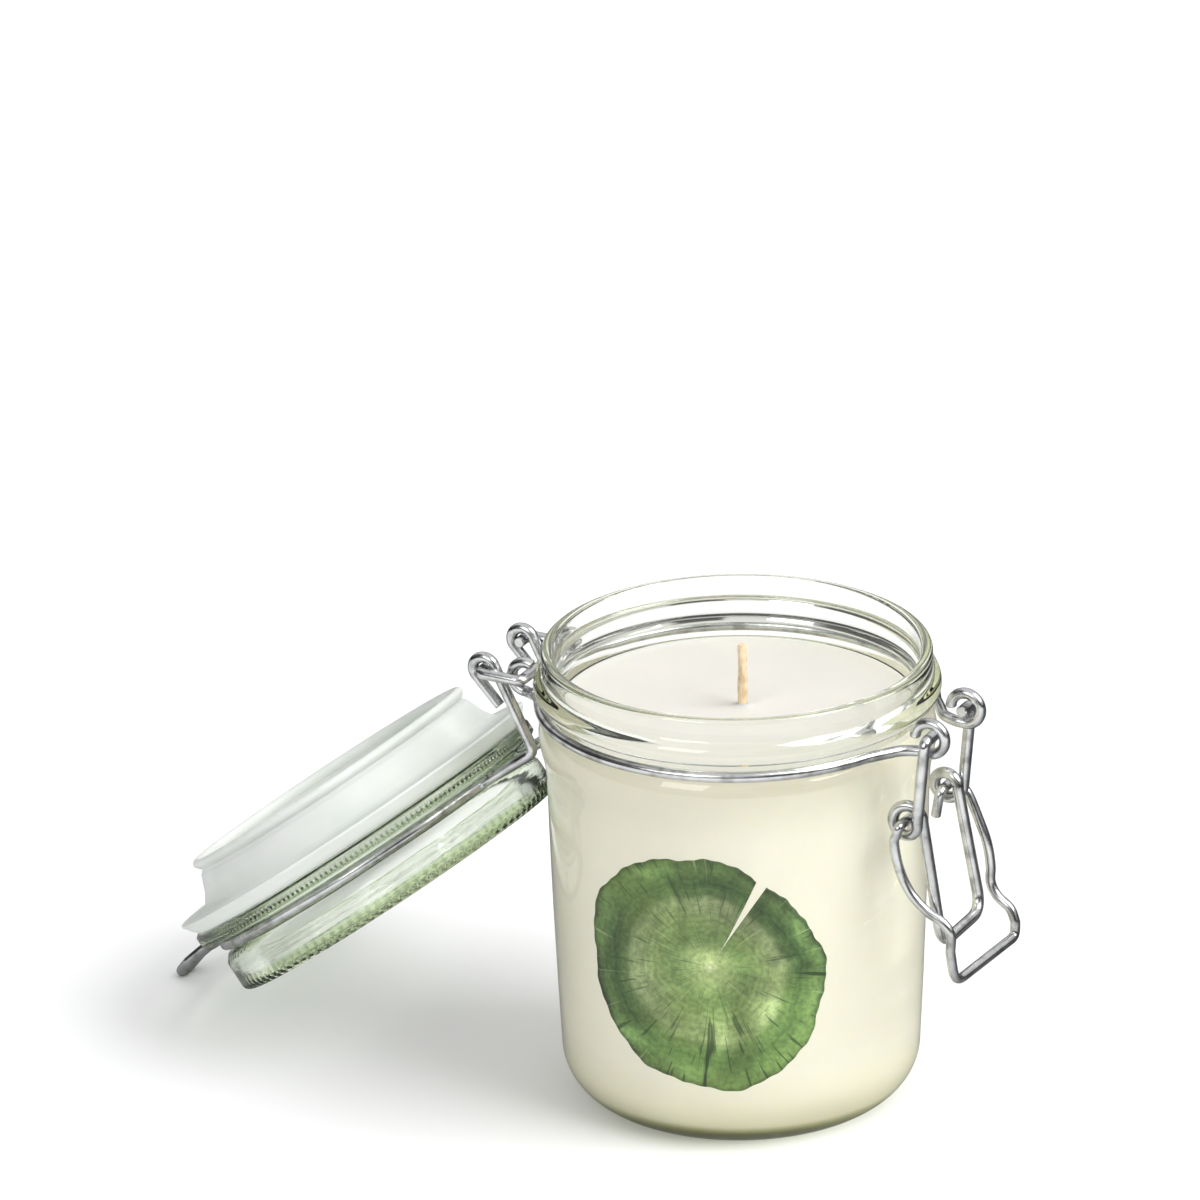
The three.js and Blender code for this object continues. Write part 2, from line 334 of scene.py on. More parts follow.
class Material(Tree):
    """A material round one Principled shader."""

    def __init__(self, name, colour, roughness, **values):
        self.made = bpy.data.materials.new(name)
        self.made.use_nodes = True
        super().__init__(self.made.node_tree)
        self.shader = self.nodes["Principled BSDF"]
        self.output = self.nodes["Material Output"]
        self.shader.inputs["Base Color"].default_value = colour
        self.shader.inputs["Roughness"].default_value = roughness
        for key, value in values.items():
            self.shader.inputs[key.replace("_", " ")].default_value = value

    def drive(self, name, out):
        """Links an output to one of the shader's own sockets."""
        self.link(out, self.shader.inputs[name])

    def coordinates(self, which="Object", scale=(1, 1, 1)):
        mapping = self.node("ShaderNodeMapping")
        mapping.inputs["Scale"].default_value = scale
        self.link(self.node("ShaderNodeTexCoord").outputs[which], mapping.inputs["Vector"])
        return mapping.outputs["Vector"]

    def noise(self, vector, scale, detail, distortion=0.0):
        made = self.node("ShaderNodeTexNoise")
        made.inputs["Scale"].default_value = scale
        made.inputs["Detail"].default_value = detail
        made.inputs["Distortion"].default_value = distortion
        self.link(vector, made.inputs["Vector"])
        return made.outputs["Fac"]

    def bump(self, height, strength, distance):
        made = self.node("ShaderNodeBump")
        made.inputs["Strength"].default_value = strength
        made.inputs["Distance"].default_value = distance
        self.link(height, made.inputs["Height"])
        self.drive("Normal", made.outputs["Normal"])

    def subsurface(self, radius, scale):
        self.shader.inputs["Subsurface Radius"].default_value = radius
        self.shader.inputs["Subsurface Scale"].default_value = scale

    def let_lamps_through(self, tint):
        """Lamps and soft light reach what the glass shuts in, dimmed by the tint."""
        path = self.node("ShaderNodeLightPath")
        clear = self.node("ShaderNodeBsdfTransparent")
        clear.inputs["Color"].default_value = tint
        rays = path.outputs["Is Shadow Ray"], path.outputs["Is Diffuse Ray"]
        blend = self.node("ShaderNodeMixShader")
        self.link(self.math("MAXIMUM", *rays), blend.inputs[0])
        self.link(self.shader.outputs[0], blend.inputs[1])
        self.link(clear.outputs[0], blend.inputs[2])
        self.link(blend.outputs[0], self.output.inputs["Surface"])

    def absorb(self, colour, density):
        volume = self.node("ShaderNodeVolumeAbsorption")
        volume.inputs["Color"].default_value = colour
        volume.inputs["Density"].default_value = density
        self.link(volume.outputs[0], self.output.inputs["Volume"])


# ---- materials ----------------------------------------------------------------------------------
PAPER_WHITE = (0.92, 0.92, 0.93, 1)
# The wax's colours by height, with its painted shade: 1 is 97 mm above the table, 2 mm over the
# wax.
WAX_RISE_PER_METRE = 10.3


def soda_glass(name, tint, density):
    """Soda glass, a little uneven in its gloss. The tint is in its volume, so that it shows most
    where one looks along the glass. Returns the material, its coordinates and its mould waves."""
    glass = Material(name, (0.96, 0.965, 0.955, 1), 0.0, Transmission_Weight=1.0, IOR=1.5)
    place = glass.coordinates(scale=(1, 1, 0.45))
    waves = glass.noise(place, scale=55, detail=2)
    glass.drive("Roughness", glass.ramp(waves, (0.3, 0.0), (0.8, 0.035)))
    glass.let_lamps_through((0.955, 0.96, 0.955, 1))
    glass.absorb(tint, density)
    return glass, place, waves


def jar_glass_look():
    """The jar's glass has soft waves from its mould, and tiny seeds."""
    glass, place, waves = soda_glass("jar_glass_clear", (0.86, 0.9, 0.74, 1), 48)
    seeds = glass.noise(place, scale=420, detail=1)
    height = glass.math("ADD", waves, glass.math("MULTIPLY", seeds, 0.08))
    glass.bump(height, strength=0.10, distance=0.0006)
    return glass.made


def lid_glass_look():
    """The lid's glass has mould streaks round it. Its crown at the top is painted a darker olive,
    as painted shade and tint for the look of the thick glass there.
    """
    glass, _, _ = soda_glass("lid_glass_green", (0.76, 0.86, 0.66, 1), 30)
    # painted shade and tint: the crown is a darker olive than the rest of the lid
    crown = glass.ramp(
        glass.math("SUBTRACT", glass.part(glass.coordinates("UV"), "Y"), 0.8),
        (0.485, (0.91, 0.92, 0.9, 1)),
        (0.49, (0.64, 0.74, 0.52, 1)),
        (0.524, (0.55, 0.63, 0.38, 1)),
    )
    glass.drive("Base Color", crown)
    streaks = glass.noise(glass.coordinates("UV", (10, 110, 1)), scale=1.0, detail=3)
    glass.bump(streaks, strength=0.24, distance=0.0003)
    return glass.made


def bright_wire_look():
    """Bright drawn wire: fine lines along it, and faint darker handling marks."""
    clean = srgb(204, 205, 206)
    steel = Material("bright_wire", clean, 0.14, Metallic=1.0)
    lines = steel.noise(steel.coordinates("UV", (60, 1.5, 1)), scale=6, detail=3)
    marks = steel.noise(steel.coordinates(), scale=260, detail=4)
    worn = steel.ramp(
        marks,
        (0.32, srgb(159, 160, 158)),
        (0.5, clean),
        (0.8, srgb(224, 225, 224)),
    )
    steel.drive("Base Color", worn)
    steel.drive("Roughness", steel.math("MULTIPLY_ADD", lines, 0.14, 0.09))
    steel.bump(lines, strength=0.12, distance=0.00012)
    return steel.made


def poured_wax():
    """Cream soy wax: cloudy, with a faint skin. Its top and the edge under the rim are painted
    greyer, as painted shade. The dark olive at its foot is painted shade and glass tint: it stands
    for the look of the thick glass base round it."""
    wax = Material("poured_wax", srgb(246, 242, 226), 0.42, Subsurface_Weight=0.55)
    wax.subsurface(radius=(1.0, 0.8, 0.5), scale=0.006)
    place = wax.coordinates()
    clouds = wax.noise(place, scale=38, detail=4, distortion=0.6)
    body = wax.ramp(
        wax.math("MULTIPLY", wax.part(place, "Z"), WAX_RISE_PER_METRE),
        # painted shade and glass tint: the dark olive foot and the darker wax just above it
        (0.05, srgb(124, 124, 78)),
        (0.057, srgb(176, 173, 126)),
        (0.068, srgb(234, 228, 206)),
        (0.2, srgb(246, 241, 227)),
        (0.8, srgb(246, 241, 228)),
        # painted shade: greyer towards the top, the top itself at about 0.98 taking the last grey
        (0.96, srgb(240, 235, 222)),
        (0.975, srgb(221, 218, 210)),
    )
    cloudy = wax.ramp(clouds, (0.25, 0.93), (0.75, 1.0))
    wax.drive("Base Color", wax.mix(1.0, body, cloudy, "MULTIPLY"))
    fine = wax.noise(place, scale=420, detail=3)
    height = wax.math("ADD", clouds, wax.math("MULTIPLY", fine, 0.25))
    wax.bump(height, strength=0.12, distance=0.0006)
    return wax.made


def wick_fibre():
    """A pale fibre wick soaked in wax, its grain running up it."""
    fibre = Material("wick_fibre", srgb(236, 214, 180), 0.75)
    upright = fibre.coordinates(scale=(1, 1, 0.16))
    grain = fibre.noise(upright, scale=2600, detail=4, distortion=0.4)
    blotch = fibre.noise(fibre.coordinates(), scale=420, detail=2)
    shade = fibre.ramp(
        fibre.mix(0.5, grain, blotch),
        (0.32, srgb(204, 168, 122)),
        (0.5, srgb(238, 214, 178)),
        (0.7, srgb(250, 234, 208)),
    )
    fibre.drive("Base Color", shade)
    fibre.bump(grain, strength=0.5, distance=0.0003)
    return fibre.made


def milky_silicone():
    """Soft translucent seal: cloudy white with a faint green cast and a satin skin."""
    look = {"Transmission_Weight": 0.18, "IOR": 1.41, "Subsurface_Weight": 0.5}
    soft = Material("milky_silicone", srgb(238, 241, 236), 0.55, **look)
    soft.subsurface(radius=(1.0, 1.0, 0.9), scale=0.003)
    place = soft.coordinates()
    clouds = soft.noise(place, scale=45, detail=3, distortion=0.5)
    shade = soft.ramp(clouds, (0.3, srgb(224, 229, 224)), (0.7, srgb(238, 241, 237)))
    soft.drive("Base Color", shade)
    soft.bump(soft.noise(place, scale=300, detail=3), strength=0.1, distance=0.0004)
    soft.let_lamps_through((0.68, 0.68, 0.68, 1))
    return soft.made


def tinned_steel():
    """The sustainer's tin, unevenly flowed."""
    tin = Material("tinned_steel", srgb(196, 198, 200), 0.35, Metallic=1.0)
    flow = tin.noise(tin.coordinates(), scale=300, detail=3)
    shade = tin.ramp(flow, (0.3, srgb(176, 178, 180)), (0.7, srgb(212, 213, 214)))
    tin.drive("Base Color", shade)
    tin.bump(flow, strength=0.1, distance=0.0002)
    return tin.made


def growth_rings(ink, out):
    """Green zones by the share of the way out from the heart, with fine rings in them."""
    zones = ink.ramp(
        out,
        (0.0, srgb(206, 214, 168)),
        (0.07, srgb(160, 176, 120)),
        (0.28, srgb(112, 138, 84)),
        (0.4, srgb(134, 156, 98)),
        (0.6, srgb(160, 178, 124)),
        (0.68, srgb(98, 126, 72)),
        (0.78, srgb(72, 102, 54)),
        (0.92, srgb(106, 136, 76)),
        (1.0, srgb(74, 98, 58)),
    )
    fine = ink.node("ShaderNodeTexNoise", noise_dimensions="1D")
    fine.inputs["Scale"].default_value = 34
    fine.inputs["Detail"].default_value = 5
    ink.link(out, fine.inputs["W"])
    rings = ink.ramp(fine.outputs["Fac"], (0.3, 0.8), (0.5, 1.0), (0.7, 1.12))
    return ink.mix(0.8, zones, rings, "MULTIPLY")


def washed_out(ink, colour, place):
    """The ink laid on unevenly: dark and light patches, fresher green ones and fine mottling."""
    wash = ink.noise(place, scale=48, detail=4, distortion=1.2)
    patches = ink.ramp(wash, (0.32, 0.38), (0.5, 1.0), (0.64, 1.7))
    colour = ink.mix(0.85, colour, patches, "MULTIPLY")
    fresh = ink.ramp(ink.noise(place, scale=26, detail=2), (0.42, 0.0), (0.62, 0.75))
    colour = ink.mix(ink.math("MULTIPLY", fresh, 0.5), colour, srgb(128, 158, 76))
    mottle = ink.ramp(ink.noise(place, scale=900, detail=5), (0.35, 0.72), (0.65, 1.22))
    ink.bump(mottle, strength=0.08, distance=0.0001)
    return ink.mix(0.8, colour, mottle, "MULTIPLY")


def rays(ink, round_scale, out_scale, distortion=0.0):
    """Noise drawn out into lines that run from the heart to the edge."""
    spread = ink.coordinates("UV", (round_scale, out_scale, 1))
    return ink.noise(spread, scale=1.0, detail=2, distortion=distortion)


def checked(ink, colour, share):
    """Dark shrinkage checks, stronger towards the edge, and pale rays between them."""
    edge = ink.ramp(share, (0.05, 0.35), (0.4, 0.6), (0.75, 1.0))
    long_checks = ink.ramp(rays(ink, 34, 0.9, 0.2), (0.325, 1.0), (0.345, 0.0))
    fine_checks = ink.ramp(rays(ink, 150, 2.4, 0.1), (0.34, 0.8), (0.4, 0.0))
    checks = ink.math("MULTIPLY", ink.math("MAXIMUM", long_checks, fine_checks), edge)
    colour = ink.mix(checks, colour, srgb(50, 72, 38))
    pale = ink.ramp(rays(ink, 130, 1.3), (0.64, 0.0), (0.72, 0.3))
    return ink.mix(pale, colour, srgb(190, 204, 154))


def ring_print():
    """Green ink in the pattern of a cut log: growth rings, shrinkage checks and a pale heart.
    The UV map holds the angle round the heart and the share of the way out to the edge."""
    ink = Material("ring_print", srgb(110, 140, 80), 0.55)
    share = ink.part(ink.coordinates("UV"), "Y")
    place = ink.coordinates()
    swell = ink.math("SUBTRACT", ink.noise(place, scale=70, detail=2), 0.5)
    out = ink.math("ADD", share, ink.math("MULTIPLY", swell, 0.13))
    colour = washed_out(ink, growth_rings(ink, out), place)
    ink.drive("Base Color", checked(ink, colour, share))
    ink.let_lamps_through((1, 1, 1, 1))
    return ink.made


def pale_floor():
    """White paper. In what mirrors it, its colour carries painted light and shade: bright in front
    of the jar and dark behind and beside it, as in a room where only the paper in front is lit."""
    paper = Material("pale_floor", PAPER_WHITE, 0.9)
    paper.shader.inputs["Specular IOR Level"].default_value = 0.1
    in_front = paper.dot(paper.coordinates(), (-0.1, -0.995, 0))
    depth = paper.math("ADD", in_front, 0.5)
    # painted light and shade: the paper's colour in what mirrors it
    painted_light_and_shade_in_gloss = paper.ramp(depth, (0.42, 0.08), (0.5, 0.3), (0.56, 0.6), (0.66, 0.92))
    path = paper.node("ShaderNodeLightPath")
    outside_glass = paper.math("LESS_THAN", path.outputs["Transmission Depth"], 0.5)
    seen_in_wire = paper.math("MULTIPLY", path.outputs["Is Glossy Ray"], outside_glass)
    paper.drive("Base Color", paper.mix(seen_in_wire, PAPER_WHITE, painted_light_and_shade_in_gloss))
    return paper.made


JAR_GLASS = jar_glass_look()
LID_GLASS = lid_glass_look()
BRIGHT_WIRE = bright_wire_look()


# ---- jar and candle -----------------------------------------------------------------------------
JAR_COLUMNS = 192
CORNER_RADIUS = 12.4
CORNER_AT = 29.4
BODY_SIDE = [(42.5, 27), (43.3, 47), (43.8, 64), (44.2, 78), (44.7, 83), (45.6, 87), (45.9, 90)]
BODY_SIDE += [(45.3, 93), (43.9, 95.4)]
JAR_FLOOR = 4.5

WAX_COLUMNS = 144
WAX_TOP = 95.1
WAX_FLOOR = 4.75
WAX_IN_GLASS = 0.05
# The wax's step over the sustainer, its bore for the wick, and what moves off centre with them.
STEP_RADIUS = 8.2
STEP_TOP = 7.2
BORE_RADIUS = 1.12
OFF_CENTRE_WITHIN = 9

WICK_COLUMNS = 28
WICK_AT = (1.1, 0.5)
WICK_RADIUS = 1.05
WICK_STEP = 0.8
WICK_STEPS = 129
WICK_TOP = 110.7
# The length over which the wick leans, about what stands free.
WICK_FREE = 15


def glass_bore(step=0.0):
    """The jar's inside wall from near the rim down to the floor, moved outwards by step."""
    line = [(42.3, 106), (42.2, 103), (41.3, 96), (41.0, 78), (39.6, 28), (38.85, 15)]
    wall = bends(line, 9, 6)
    corner = arc(29.2, 14.4, 9.6, -8, -90, 12)
    return [(r + step, z - step) for r, z in [*wall, *corner]]


def jar_glass():
    corner = arc(CORNER_AT, CORNER_RADIUS, CORNER_RADIUS, -90, -6, 16)
    foot = [(0, 1.0), (22, 0.9), (25.5, 0.6), (27, 0.0), *corner]
    side = spline(BODY_SIDE, 5)
    bead = [(43.9, 98.4), (45.6, 99.2), (46.7, 100.2), (47.0, 101.5), (46.5, 103.3), (45.2, 104.9)]
    neck = spline([*bead, (44.95, 106.5), (45.0, 108.6)], 4)
    rim = arc(43.65, 108.95, 1.35, 0, 180, 10)
    profile = [*foot, *side, *neck, *rim, *glass_bore(), (0, JAR_FLOOR)]
    made = lathe("jar_glass_smooth", profile, JAR_COLUMNS)
    made.data.materials.append(JAR_GLASS)
    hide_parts("jar_glass")
    return made


def off_centre(made):
    """Moves everything close to the axis to where the wick stands."""
    for vertex in made.data.vertices:
        if vertex.co.xy.length < OFF_CENTRE_WITHIN * MM:
            vertex.co.x += WICK_AT[0] * MM
            vertex.co.y += WICK_AT[1] * MM


def candle_wax():
    """Poured wax that clings to the glass, a hair into it, so that no air shows between them. Its
    top creeps up the glass and the wick, and is nearly level in between."""
    wall = [(r, z) for r, z in glass_bore(WAX_IN_GLASS) if z < WAX_TOP + 0.6]
    under = [(BORE_RADIUS, STEP_TOP), (STEP_RADIUS, STEP_TOP), (STEP_RADIUS, WAX_FLOOR)]
    edge = [(40.6, WAX_TOP + 0.25), (39.6, WAX_TOP + 0.06), (37.5, WAX_TOP)]
    top = [(r, WAX_TOP - 0.1 * math.cos(r / 12)) for r in (34, 29, 24, 19, 14, 10)]
    mound = [(6, WAX_TOP - 0.05), (3.4, WAX_TOP + 0.1), (2.0, WAX_TOP + 0.4)]
    collar = [(BORE_RADIUS, WAX_TOP + 0.9), (BORE_RADIUS, STEP_TOP)]
    profile = [*under, *reversed(wall), *edge, *top, *mound, *collar]
    made = lathe("candle_wax_poured", profile, WAX_COLUMNS)
    off_centre(made)
    made.data.materials.append(poured_wax())
    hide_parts("candle_wax")
    return made


def braid(r, z, a):
    """A round wick's uneven outline: two lobes that twist slowly, six finer ones, and knots."""
    twist = 0.10 * math.cos(2 * a + z * 0.5)
    lobes = 0.05 * math.cos(6 * a + z * 1.1)
    knots = 0.05 * math.sin(z * 2.1) * math.cos(a * 3)
    return r * (1 + twist + lobes + knots)


def wick():
    """A braided wick, straight in the wax and leaning a little where it stands free."""
    column = [(WICK_RADIUS, STEP_TOP + i * WICK_STEP) for i in range(WICK_STEPS)]
    profile = [(0, STEP_TOP), *column, (0.8, WICK_TOP - 0.2), (0, WICK_TOP)]
    made = lathe("wick_braid", profile, WICK_COLUMNS, braid)
    for vertex in made.data.vertices:
        lean = max(0.0, vertex.co.z / MM - WAX_TOP) / WICK_FREE
        vertex.co.x += (WICK_AT[0] + 0.12 * math.sin(lean * 3) * lean) * MM
        vertex.co.y += WICK_AT[1] * MM
    made.data.materials.append(wick_fibre())
    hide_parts("wick")
    return made


# ---- ring print on the jar ----------------------------------------------------------------------
# Where the heart lies: degrees round the jar, and height.
PRINT_AT = (-72.9, 48.8)
PRINT_RADIUS = 29.0
PRINT_RINGS = 30
PRINT_SPOKES = 240
HEART_SHARE = 0.004
INK_LIFT = 0.03
INK_THICKNESS = 0.04
CRACK_ANGLE = 60.0
CRACK_FROM = 5.0
CRACK_REACH = 22
CRACK_WIDTH = 3.3
CRACK_HAIR = 0.03


def side_radius(z):
    """Outer radius of the jar's body at a height below its shoulder."""
    if z < CORNER_RADIUS:
        drop = CORNER_RADIUS - z
        return CORNER_AT + math.sqrt(max(0.0, CORNER_RADIUS**2 - drop**2))
    points = [(41.75, 13.2), *BODY_SIDE]
    for (r0, z0), (r1, z1) in zip(points, points[1:]):
        if z <= z1:
            return r0 + (r1 - r0) * (z - z0) / (z1 - z0)
    return points[-1][0]


def log_edge(angle):
    """The slice's outline: not quite round, fuller to the left and below."""
    a = math.radians(angle)
    slow = 2.6 * math.cos(a) + 2.5 * math.sin(a) + 1.3 * math.sin(2 * a)
    quick = 0.5 * math.sin(5 * a + 1) + 0.35 * math.cos(9 * a) + 0.2 * math.sin(17 * a)
    quick += 0.12 * math.sin(41 * a)
    return PRINT_RADIUS - slow + quick


def crack_gap(distance):
    """Half of the open crack, in degrees round the heart. It widens towards the edge."""
    opened = max(0.0, (distance - CRACK_FROM) / CRACK_REACH) ** 1.3
    width = CRACK_HAIR + opened * CRACK_WIDTH
    return math.degrees(math.asin(min(0.9, width / 2 / distance)))


def print_point(turn_share, share):
    """A point of the print, laid round the jar's side: shares of the way round and out."""
    around = CRACK_ANGLE + 360 * turn_share
    distance = max(HEART_SHARE, share) * log_edge(around)
    gap = crack_gap(distance)
    around = math.radians(CRACK_ANGLE + gap + (360 - 2 * gap) * turn_share)
    z = PRINT_AT[1] + distance * math.sin(around)
    radius = side_radius(z) + INK_LIFT
    a = math.radians(PRINT_AT[0]) + distance * math.cos(around) / radius
    return (radius * math.cos(a), radius * math.sin(a), z)


def print_patch():
    vertices, uvs, faces = [], [], []
    for i in range(PRINT_RINGS + 1):
        for k in range(PRINT_SPOKES + 1):
            turn_share, share = k / PRINT_SPOKES, i / PRINT_RINGS
            vertices.append(print_point(turn_share, share))
            uvs.append((turn_share, share))
    for i in range(PRINT_RINGS):
        for k in range(PRINT_SPOKES):
            a = i * (PRINT_SPOKES + 1) + k
            b = a + PRINT_SPOKES + 1
            faces.append((a, b, b + 1, a + 1))
    made = make_object("ring_print", vertices, faces, uvs)
    ink = made.modifiers.new("ink", "SOLIDIFY")
    ink.thickness = INK_THICKNESS * MM
    ink.offset = 1.0
    made.data.materials.append(ring_print())
    return made


# ---- lid ----------------------------------------------------------------------------------------
FLUTES = 104
DIMPLES = 2 * FLUTES
LID_COLUMNS = 4 * DIMPLES
FLANGE_RADIUS = 46.9
DIMPLES_Z = 117.0
DIMPLES_HALF = 0.8
DIMPLE_DEPTH = 0.75
FLUTES_FROM = 130.6
FLUTES_TO = 132.5
FLUTES_FADE = 0.9
FLUTE_DEPTH = 0.7
SEAL_COLUMNS = 192


def lid_shape(r, z, a):
    """Short flutes round the rim's top corner, and a row of deep dimples round the flange."""
    if r > 41.5 and FLUTES_FROM < z < FLUTES_TO:
        fade = min(1.0, (z - FLUTES_FROM) / FLUTES_FADE)
        return r - FLUTE_DEPTH * fade * (1 - abs(math.sin(FLUTES * a / 2)) ** 0.8)
    from_middle = abs(z - DIMPLES_Z)
    if r > 45 and from_middle < DIMPLES_HALF:
        return r - DIMPLE_DEPTH * max(0.0, math.cos(DIMPLES * a)) * (1 - from_middle / DIMPLES_HALF)
    return r


def onto_lid_axis(made):
    made.data.transform(Matrix.Translation((LID_X * MM, 0, 0)))


def lid_glass():
    """From the axis: the underside, the locating ring, the flange with its dimples, the groove for
    the wire, the fluted rim, its crown, and the dish sunk into the top."""
    under = [(0, 118.6), (32.6, 118.3), (33.8, 116.6), (34.4, 114.0), (37.2, 114.0)]
    flange = [(38.0, 114.9), (46.2, 114.9), (FLANGE_RADIUS, 115.5), (FLANGE_RADIUS, 116.1)]
    dimples = [(FLANGE_RADIUS, 116.2 + 0.2 * i) for i in range(9)]
    groove = [(FLANGE_RADIUS, 118.1), (46.2, 118.7), (40.3, 118.7), (40.2, 122.1), (42.6, 122.7)]
    rim = [(43.9, 124.4), (44, 125.4), (44, 128), (44, 130.4), (44, 130.9)]
    rim += [(43.9, 131.3), (43.8, 131.6)]
    crown = [(43.3, 132.1), (42.6, 132.4), (39.4, 132.4), (37.8, 130.8), (36.8, 124.6)]
    dish = [(34.5, 123.9), (24, 123.7), (12, 123.6), (0, 123.6)]
    lower = [*bends(under, 0.8, 4), *bends(flange, 0.5, 3), *dimples, *bends(groove, 0.6, 4)]
    profile = [*lower, *rim, *bends(crown, 1.0, 5), *dish]
    made = lathe("lid_glass_ribbed", profile, LID_COLUMNS, lid_shape, crease=50)
    onto_lid_axis(made)
    made.data.materials.append(LID_GLASS)
    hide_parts("lid_glass")
    return made


def lid_seal():
    """The sealing sleeve: its inside, the bead at its free end, the neck over the bead, the flared
    outside, and the lip that lies under the lid's flange."""
    inside = spline([(38.0, 114.6), (37.4, 107.5), (36.7, 103.2), (36.0, 101.9), (35.78, 101.3)], 5)
    bead = arc(36.9, 100.9, 1.15, 180, 372, 12)
    neck = spline([(37.4, 102.0), (36.95, 102.4), (37.0, 102.9), (37.7, 103.6)], 3)
    outside = spline([(38.5, 105.6), (39.4, 107.8), (40.7, 109.8)], 6)
    lip = spline([(41.6, 110.5), (44.0, 111.0), (46.6, 111.0), (48.1, 111.1), (48.3, 111.6)], 4)
    back = [(47.6, 112.5), (46.8, 113.6), (46.0, 114.5), (45.6, 114.6), (38.0, 114.6)]
    profile = [*inside, *bead, *neck, *outside, *lip, *back]
    made = lathe("lid_seal_sleeve", profile, SEAL_COLUMNS)
    onto_lid_axis(made)
    made.data.materials.append(milky_silicone())
    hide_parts("lid_seal")
    return made


def hook_and_arm():
    """One side of the lid wire: its cut end, the hook on the hinge, and the arm up to the ring."""
    hook = bent_round(HINGE, 2.9, -EYE_Y, 0, -180, 30)
    cut_end = (HINGE[0] + 2.0, -EYE_Y, HINGE[1] + 9.2)
    arm = [
        hook[-1],
        (HINGE[0] + 1.3, -EYE_Y, LID_RING_Z),
        (-41.6, -EYE_Y, LID_RING_Z),
        (-37.9, -14.3, LID_RING_Z),
    ]
    return [cut_end, *hook[:-1], *bends(arm, 2.4)]


def lid_wire():
    """Both hooks and arms, the ring round the lid, and the nose that the lever holds down."""
    ring = laid_round(LID_X, LID_RING_RADIUS, LID_RING_Z, -156, -12, 90)
    nose = [
        ring[-1],
        (45.8, -1.55, LID_RING_Z),
        (50.5, -1.55, LID_RING_Z),
        (57.5, -3, LID_RING_Z - 0.3),
        (64, -3, LID_RING_Z + 0.5),
        (NOSE_TIP[0], -2.7, NOSE_TIP[1]),
        (NOSE_TIP[0], 0, NOSE_TIP[1]),
    ]
    half = [*hook_and_arm(), *ring[:-1], *bends(nose, 2.6)]
    return wire_piece("lid_wire_bent", [*half[:-1], *mirrored(half)], WIRE, "lid_wire")


def open_lid(pieces):
    """Turns the pieces, built shut, open about the hinge until the nose rests on the table."""
    pin = Vector((HINGE[0], 0, HINGE[1])) * MM
    swing = Matrix.Translation(pin) @ turn(-OPEN_ANGLE, "Y") @ Matrix.Translation(-pin)
    for piece in pieces:
        piece.data.transform(swing)


# ---- wires --------------------------------------------------------------------------------------
# Where the band leaves the neck's groove for its eyes, in radians round the jar.
BAND_JOINS = math.radians(25)
BAND_LEAVES = 2.705
# Sharp bends in the link, the lever's pins and the stirrup's pins.
PIN_BEND = 1.9
# How near the middle plane the inturned ends reach.
LINK_PIN_Y = 7.6
LEVER_PIN_Y = 7.2
STIRRUP_TAIL_Y = 6.9
LEVER_FOOT = (56.5, 50)


def wire_piece(name, points, radius, node):
    made = tube(name, points, radius)
    made.data.materials.append(BRIGHT_WIRE)
    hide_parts(node)
    return made


def on_band(angle):
    return (BAND_RADIUS * math.cos(angle), BAND_RADIUS * math.sin(angle), BAND_Z)


def neck_band(side, node):
    """Half of the band round the neck, with an eye bent at each end."""
    front_eye = bent_round(FRONT_EYE, 3.7, EYE_Y, 182, -90, 44)
    step_in = [(50.4, 9.9, 96.5), (46.9, 11.6, 96.6), (44.4, 15, 96.7)]
    to_neck = spline([front_eye[-1], *step_in, on_band(BAND_JOINS)], 5)
    around = laid_round(0, BAND_RADIUS, BAND_Z, 28, 153, 90)
    rear_eye = bent_round(REAR_EYE, 3.57, EYE_Y, 270, 62, 30)
    step_out = [(-44.6, 15, 95.9), (-47.1, 11.6, 94.4)]
    from_neck = spline([on_band(BAND_LEAVES), *step_out, rear_eye[0]], 6)
    path = [*front_eye[:-1], *to_neck, *around, *from_neck, *rear_eye[1:]]
    path = mirrored(path) if side < 0 else path
    return wire_piece(node + "_bent", path, WIRE, node)


def hinge_link():
    """A bar through both rear eyes, a leg outside each, and a pin turned into each lid hook."""
    corners = [
        (HINGE[0], -LINK_PIN_Y, HINGE[1]),
        (HINGE[0], -ARM_Y, HINGE[1]),
        (REAR_EYE[0], -ARM_Y, REAR_EYE[1]),
        (REAR_EYE[0], 0, REAR_EYE[1]),
    ]
    half = bends(corners, PIN_BEND)
    return wire_piece("hinge_link_bent", [*half[:-1], *mirrored(half)], WIRE, "hinge_link")


def clamp_lever():
    """A pin in each front eye, a coil part way down each arm, and the foot that joins the arms."""
    coil = bent_round(LEVER_COIL, 3.3, -ARM_Y, 0, -360, 60, -EYE_Y)
    pin = (FRONT_EYE[0], -LEVER_PIN_Y, FRONT_EYE[1])
    upper = bends([pin, (FRONT_EYE[0], -ARM_Y, FRONT_EYE[1]), coil[0]], PIN_BEND)
    corner = (LEVER_FOOT[0], -10.8, LEVER_FOOT[1])
    lower = bends([coil[-1], corner, (LEVER_FOOT[0], 0, LEVER_FOOT[1])], 5, 12)
    half = [*upper[:-1], *coil, *lower[1:]]
    return wire_piece("clamp_lever_bent", [*half[:-1], *mirrored(half)], LEVER_WIRE, "clamp_lever")


def stirrup_pin(side, arm):
    """One end of the stirrup: a tail bent down inside the lever's coil, and the pin out through
    it, on the way to where the arm starts."""
    tail = (46.9, side * STIRRUP_TAIL_Y, 73.2)
    inner = (LEVER_COIL[0], side * STIRRUP_TAIL_Y, LEVER_COIL[1])
    outer = (LEVER_COIL[0], side * STIRRUP_Y, LEVER_COIL[1])
    halfway = tuple((a + b) / 2 for a, b in zip(outer, arm))
    return bends([tail, inner, outer, halfway], PIN_BEND)


